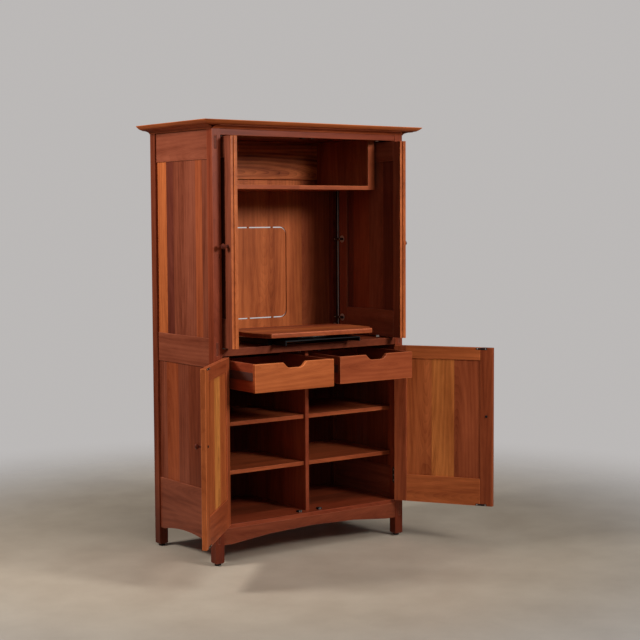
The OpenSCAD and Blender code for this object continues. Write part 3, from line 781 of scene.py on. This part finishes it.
def make_catches():
    """Magnetic catches: a black case with two steel pole plates at its mouth."""
    low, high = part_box("catches")
    low_inner = high[0] - CATCH_WIDTH
    # (front, bottom, height, inner side) of the pairs on the floor, under the deck and at the top
    pairs = [(FRONT + 0.025, low[2], LOW_CATCH_TALL, low_inner),
             (FRONT + 0.025, DECK - BELOW_DECK, LOW_CATCH_TALL, low_inner),
             (FRONT + 0.026, high[2] - TOP_CATCH_TALL, TOP_CATCH_TALL, TOP_CATCH_X)]
    spots = [(sign, *pair) for pair in pairs for sign in (1, -1)]

    def cases(work):
        for sign, y, z, tall, inner in spots:
            near, far = sorted((sign * inner, sign * (inner + CATCH_WIDTH)))
            bar(work, (near, y + 0.001, z), (far, y + CATCH_DEPTH, z + tall), ease=0.0015)

    def plates(work):
        for sign, y, z, tall, inner in spots:
            for shift in POLE_XS:
                x = sign * (inner + shift)
                top = z + tall - 0.001
                bar(work, (x - POLE_HALF, y, z + 0.001), (x + POLE_HALF, y + POLE_DEPTH, top), ease=0.0003)
    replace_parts(piece_of("catch_cases", cases, black_steel, "case"), "catches")
    piece_of("catch_poles", plates, steel, "case")


def make_guides():
    """Turned nylon rollers that guide the pocket doors' inner faces, each on a steel pin."""
    low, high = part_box("door_guides")
    x = high[0] - ROLLER_RADIUS
    y = low[1] + ROLLER_RADIUS

    def rollers(work):
        for sign in (1, -1):
            for z, up in ((low[2], 1), (high[2], -1)):
                profile = [(0.0062, 0), (ROLLER_RADIUS, 0.001), (ROLLER_RADIUS, 0.0028), (0.0072, 0.0034),
                           (0.0072, 0.006), (ROLLER_RADIUS, 0.0066), (ROLLER_RADIUS, 0.0082),
                           (0.0068, 0.0094), (0.0034, 0.0096)]
                turned(work, profile, placing((sign * x, y, z), (0, 0, up)), around=36)

    def pins(work):
        for sign in (1, -1):
            for z, up in ((low[2] + ROLLER_TOP, 1), (high[2] - ROLLER_TOP, -1)):
                screw_head(work, (sign * x, y, z), (0, 0, up), radius=0.0032, rise=0.0006)
    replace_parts(piece_of("guide_rollers", rollers, nylon, "case"), "door_guides")
    piece_of("guide_pins", pins, steel, "case")


def make_glides():
    """Nail-on glides: a domed foot in a rim, one under each post."""
    low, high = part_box("glides")
    profile = [(0.009, 0), (0.0125, 0.0006), (0.0145, 0.0022), (GLIDE_RADIUS, 0.0042), (GLIDE_RADIUS, 0.0062),
               (0.0138, 0.0068), (0.0138, high[2] - 0.0002)]

    def build(work):
        for sign_x in (1, -1):
            for sign_y in (1, -1):
                at = (sign_x * (high[0] - GLIDE_RADIUS), sign_y * (high[1] - GLIDE_RADIUS), 0)
                turned(work, profile, placing(at, (0, 0, 1)), around=40)
    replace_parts(piece_of("glide_feet", build, black_steel, "case"), "glides")


def make_pocket_slides():
    """Channel members of the pocket slides: a back web, two flanges and the ball tracks, with screws."""
    low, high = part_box("pocket_slides")
    levels = (low[2], high[2] - CHANNEL_TALL)
    inner, outer = POST_IN - 0.0004, high[0]
    web = outer - CHANNEL_WEB
    lip, tall = CHANNEL_TRACK
    # (near x, far x, bottom, top) of each strip of a channel's section
    section = [(web, outer, 0, CHANNEL_TALL)]
    section += [(inner, web, z, z + CHANNEL_WEB) for z in (0, CHANNEL_TALL - CHANNEL_WEB)]
    section += [(inner, inner + lip, z, z + tall) for z in (CHANNEL_WEB, CHANNEL_TALL - CHANNEL_WEB - tall)]

    def channels(work):
        for sign in (1, -1):
            for level in levels:
                for near, far, bottom, top in section:
                    x0, x1 = sorted((sign * near, sign * far))
                    bar(work, (x0, low[1], level + bottom), (x1, high[1], level + top), ease=0.0005)

    def screws(work):
        for sign in (1, -1):
            for level in levels:
                for share in CHANNEL_SCREWS:
                    at = (sign * web, low[1] + (high[1] - low[1]) * share, level + CHANNEL_TALL / 2)
                    screw_head(work, at, (-sign, 0, 0), radius=0.004, rise=0.0012)
    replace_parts(piece_of("pocket_channels", channels, steel, "case"), "pocket_slides")
    piece_of("pocket_channel_screws", screws, steel, "case")


def make_carrier_trim():
    """On each pocket door's carrier: a bright wire tie, the cup hinges' round cups and their screws."""
    for side, sign in SIDES:
        body = "upper_door_" + side
        low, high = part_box("upper_%s_carrier" % side)
        door_low, door_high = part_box("upper_%s_stiles" % side)
        inner = min(abs(low[0]), abs(high[0]))
        face = min(abs(door_low[0]), abs(door_high[0]))

        def wire(work):
            tall = high[2] - low[2] - 2 * WIRE_END
            profile = [(0.0016, 0), (0.002, 0.0006), (0.002, tall - 0.0006), (0.0016, tall)]
            at = (sign * (inner + WIRE_IN), high[1] - WIRE_BACK, low[2] + WIRE_END)
            turned(work, profile, placing(at, (0, 0, 1)), around=16)

        def cup_rings(work):
            profile = [(0.0175, 0), (0.0175, 0.0008), (0.016, 0.0014), (0.013, 0.0014), (0.0125, 0.0002)]
            for z in CUP_ZS:
                at = (sign * face, door_high[1] - CUP_BACK, z)
                turned(work, profile, placing(at, (-sign, 0, 0)), around=36)

        def screws(work):
            for z in CUP_ZS:
                for back in ARM_SCREWS:
                    at = (sign * inner, high[1] - back, z)
                    screw_head(work, at, (-sign, 0, 0), radius=0.0032, rise=0.0008)
        piece_of("carrier_wire_" + side, wire, steel, body)
        piece_of("hinge_cups_" + side, cup_rings, steel, body)
        piece_of("carrier_screws_" + side, screws, steel, body)


def make_tray_screws():
    low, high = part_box("tray_base")

    def build(work):
        for sign in (1, -1):
            for share in BASE_SCREWS:
                at = (sign * (high[0] - BASE_SCREW_IN), low[1] + (high[1] - low[1]) * share, high[2])
                screw_head(work, at, (0, 0, 1), radius=0.0042, rise=0.0012)
    piece_of("tray_base_screws", build, steel, "case")


make_hinge_screws()
make_strike_screws()
make_knob_screws()
make_catches()
make_guides()
make_glides()
make_pocket_slides()
make_carrier_trim()
make_tray_screws()

# ---------- floor ----------

FLOOR_CLEAR = 1.2    # the floor is solid out to here, and gone at its edge
FLOOR_EDGE = 3.4


def make_floor():
    """A pale floor that fades into the backdrop with distance."""
    work = bmesh.new()
    bmesh.ops.create_circle(work, cap_ends=True, segments=96, radius=FLOOR_EDGE)
    mesh = bpy.data.meshes.new("floor")
    work.to_mesh(mesh)
    work.free()
    floor = bpy.data.objects.new("floor", mesh)
    graph = Graph("floor")
    at = graph.node("TexCoord").outputs["Object"]
    patch = graph.noise(at, (3, 3, 3), detail=5.0, roughness=0.6)
    grit = graph.noise(at, (220, 220, 220), detail=2.0)
    tone = graph.math("MULTIPLY_ADD", grit, 0.35, graph.math("MULTIPLY", patch, 0.65))
    colour = graph.ramp(tone, [(0.3, srgb(192, 176, 156)), (0.7, srgb(218, 204, 184))])
    distance = graph.vector("LENGTH", at)
    fade = graph.smooth_step(distance, FLOOR_CLEAR, FLOOR_EDGE, 1.0, 0.0)
    mesh.materials.append(graph.finish(Base_Color=colour, Roughness=0.5, Alpha=fade))
    scene.collection.objects.link(floor)


make_floor()
